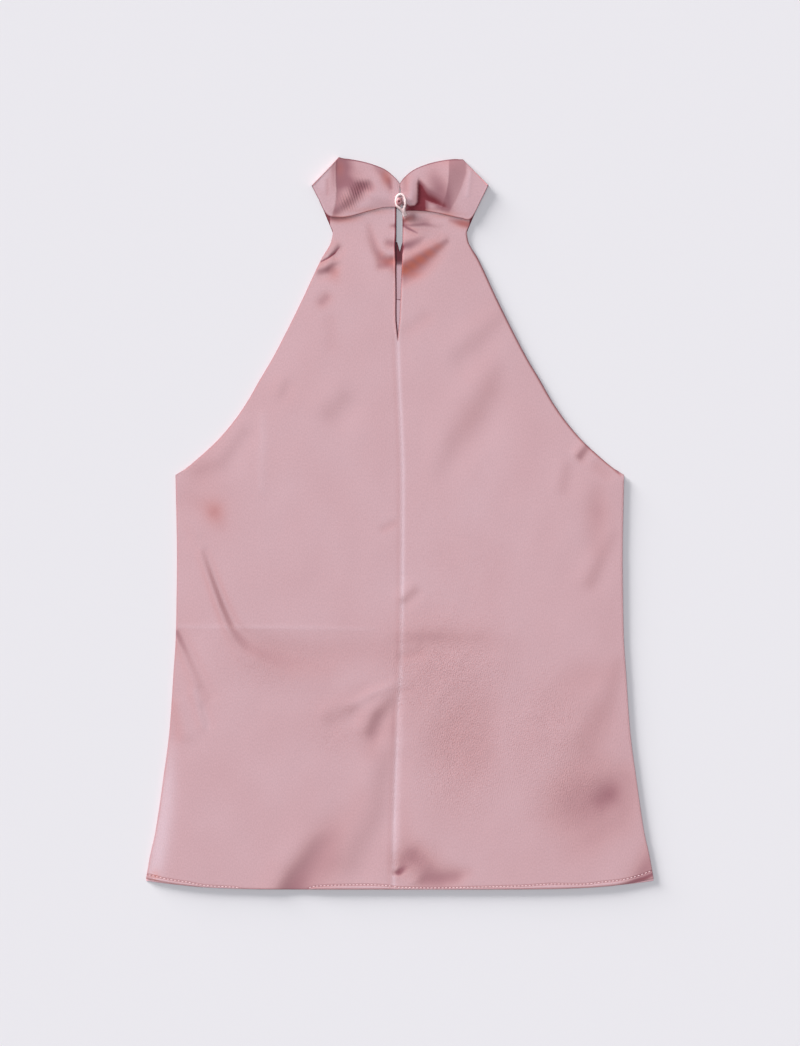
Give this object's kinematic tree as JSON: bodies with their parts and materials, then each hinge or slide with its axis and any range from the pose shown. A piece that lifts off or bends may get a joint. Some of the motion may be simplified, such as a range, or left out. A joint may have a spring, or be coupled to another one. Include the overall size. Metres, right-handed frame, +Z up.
{
  "type": "halter neck top",
  "caption": "Sleeveless satin halter neck top laid flat on its front, back side up, with a folded neck band, a back slit, a covered button and a cord loop",
  "frame": {"origin": "on the surface the garment lies on, under the middle of its outline", "axes": "X across the garment, to the right as its back is seen; Y from the hem to the neck; Z up, from the front panel to the back panels"},
  "size_m": [0.4752, 0.6858, 0.0098],
  "materials": {
    "panel_satin": "satin",
    "collar_satin": "satin",
    "button_satin": "satin",
    "cord_satin": "satin"
  },
  "bodies": {
    "root": {"front_panel": "panel_satin", "back_left_panel": "panel_satin", "back_right_panel": "panel_satin", "collar": "collar_satin", "button": "button_satin", "button_loop": "cord_satin"}
  },
  "joints": []
}
